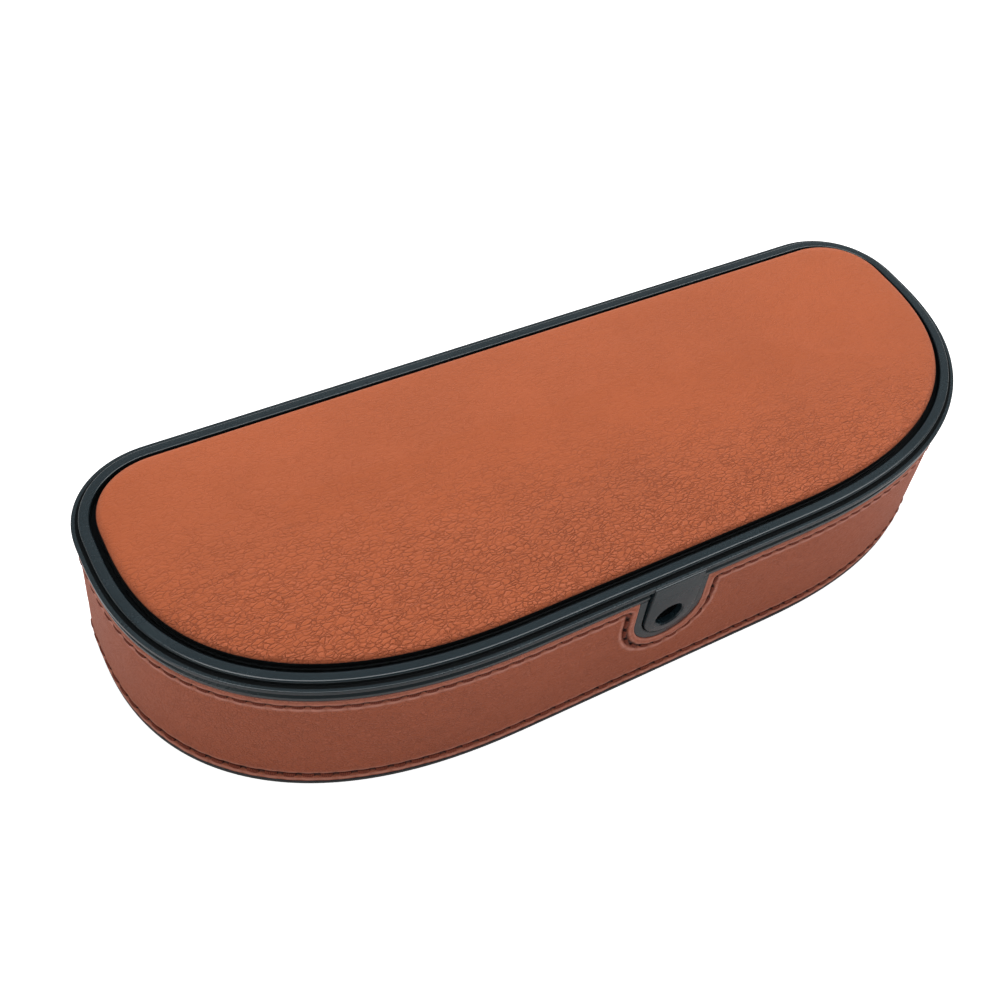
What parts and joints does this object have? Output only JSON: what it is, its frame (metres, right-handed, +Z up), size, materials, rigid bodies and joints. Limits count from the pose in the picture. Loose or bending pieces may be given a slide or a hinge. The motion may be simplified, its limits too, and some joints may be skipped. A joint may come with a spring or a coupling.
{
  "type": "glasses case",
  "caption": "Hard glasses case covered in stitched leather, with a padded lid on a hinged plastic frame, a front latch tab with a round hole and a soft lining.",
  "frame": {"origin": "centre of the bottom face, on the surface that the case stands on", "axes": "+X to the right along the case's length, +Y from the latch tab to the hinge, +Z up"},
  "size_m": [0.2022, 0.0757, 0.0378],
  "materials": {
    "lid_leather": "pebbled satin",
    "band_leather": "fine-grained matte",
    "frame_plastic": "satin moulded",
    "rim_plastic": "satin moulded",
    "moulded_plastic": "textured",
    "lining": "flocked",
    "foam": "matte foam",
    "thread": "waxed thread",
    "magnet": "nickel plated",
    "steel": "bright drawn"
  },
  "bodies": {
    "base": {"bottom_plate": "moulded_plastic", "base_shell": "moulded_plastic", "base_liner": "lining", "base_leather": "band_leather", "base_rim": "rim_plastic", "upper_stitching": "thread", "lower_stitching": "thread", "magnet_left": "magnet", "magnet_right": "magnet", "hinge_pin_left": "steel", "hinge_pin_right": "steel"},
    "lid": {"lid_frame": "frame_plastic", "latch_tab": "frame_plastic", "lid_board": "moulded_plastic", "lid_pad": "foam", "lid_leather": "lid_leather", "lid_liner": "lining", "strike_plate_left": "steel", "strike_plate_right": "steel"}
  },
  "joints": [
    {"name": "lid_hinge", "type": "hinge", "parent": "base", "child": "lid", "pos_m": [0, 0.0366, 0.031], "axis": [-1, 0, 0], "range_deg": [0, 105]}
  ]
}
